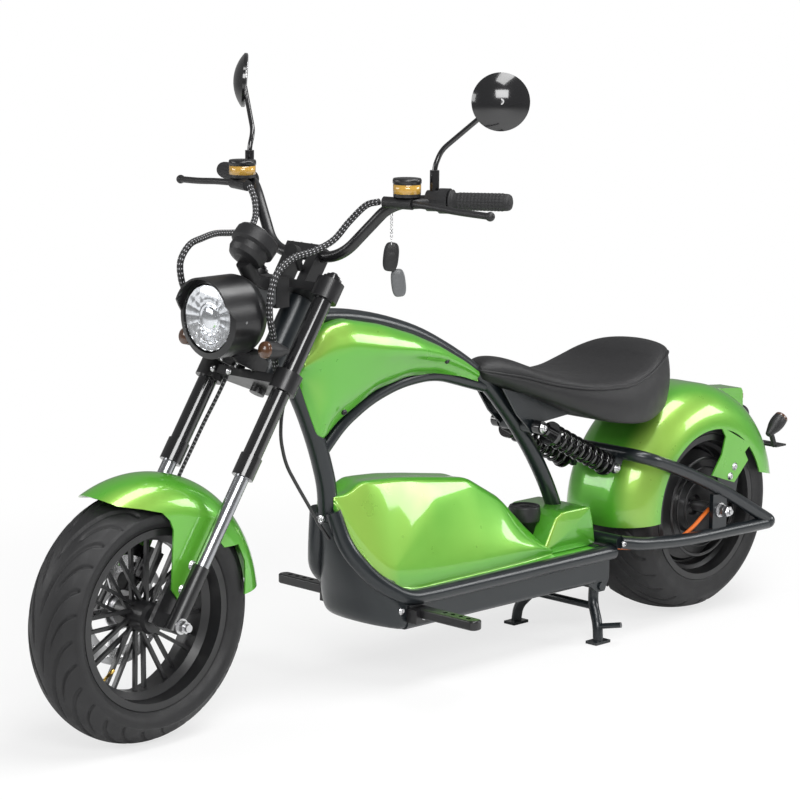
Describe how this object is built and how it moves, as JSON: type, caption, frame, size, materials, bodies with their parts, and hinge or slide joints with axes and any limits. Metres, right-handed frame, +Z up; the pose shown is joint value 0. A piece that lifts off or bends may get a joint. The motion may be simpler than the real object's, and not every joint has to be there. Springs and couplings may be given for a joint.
{
  "type": "electric chopper scooter",
  "caption": "Low electric chopper scooter with raked telescopic fork, tube frame, wide hub-motor rear wheel, sprung saddle and swept handlebar, parked on its centre stand.",
  "frame": {"origin": "centre of the bounding box's base, on the ground", "axes": "+X forwards, +Y to the rider's left, +Z up"},
  "size_m": [2.0949, 0.878, 1.2479],
  "materials": {
    "amber_lens": "gloss",
    "black_plastic": "matte",
    "cast_alloy": "satin black coat",
    "chrome": "polished",
    "clear_lens": "clear",
    "frame_paint": "satin anthracite",
    "gloss_black": "gloss",
    "green_paint": "gloss pearl metallic lime",
    "leather": "soft grain",
    "orange_sheath": "matte",
    "red_lens": "gloss",
    "rubber": "matte",
    "spring_paint": "gloss",
    "steel": "brushed",
    "tyre": "matte"
  },
  "bodies": {
    "frame": {"head_tube": "frame_paint", "backbone_tube": "frame_paint", "down_tube": "frame_paint", "tank_arch": "frame_paint", "cradle_rails": "frame_paint", "battery_box": "frame_paint", "front_shield": "frame_paint", "battery_cover": "green_paint", "charge_cap": "black_plastic", "tank_halves": "green_paint", "seat": "leather", "seat_bracket": "frame_paint", "swingarm": "frame_paint", "rear_axle": "steel", "shock_bodies": "gloss_black", "shock_springs": "spring_paint", "rear_mudguard": "green_paint", "tail_light": "red_lens", "rear_bracket": "frame_paint", "rear_signals": "black_plastic", "foot_pegs": "frame_paint", "wiring_loom": "rubber", "motor_cable": "orange_sheath"},
    "steering": {"steering_stem": "steel", "lower_clamp": "gloss_black", "upper_clamp": "gloss_black", "fork_tubes": "gloss_black", "stanchions": "chrome", "fork_sliders": "gloss_black", "front_axle": "steel", "front_mudguard": "green_paint", "front_caliper": "gloss_black", "handlebar": "gloss_black", "bar_clamp": "gloss_black", "grips": "rubber", "brake_levers": "black_plastic", "mirrors": "black_plastic", "headlight_shell": "black_plastic", "headlight_lens": "clear_lens", "speedometer": "black_plastic", "switch_box": "black_plastic", "front_signals": "amber_lens", "brake_hoses": "rubber"},
    "front_wheel": {"front_tyre": "tyre", "front_wheel": "cast_alloy", "front_disc": "steel"},
    "rear_wheel": {"rear_tyre": "tyre", "rear_wheel": "gloss_black"},
    "stand": {"centre_stand": "frame_paint"}
  },
  "joints": [
    {"name": "steering", "type": "hinge", "parent": "frame", "child": "steering", "pos_m": [0.44333, 0, 0.72362], "axis": [-0.549, 0, 0.8358], "range_deg": [-35, 35]},
    {"name": "front_wheel", "type": "hinge", "parent": "steering", "child": "front_wheel", "pos_m": [0.8045, 0, 0.243], "axis": [0, 1, 0], "continuous": true},
    {"name": "rear_wheel", "type": "hinge", "parent": "frame", "child": "rear_wheel", "pos_m": [-0.7455, 0, 0.2385], "axis": [0, 1, 0], "continuous": true},
    {"name": "centre_stand", "type": "hinge", "parent": "frame", "child": "stand", "pos_m": [-0.3955, 0, 0.118], "axis": [0, 1, 0], "range_deg": [0, 80]}
  ]
}
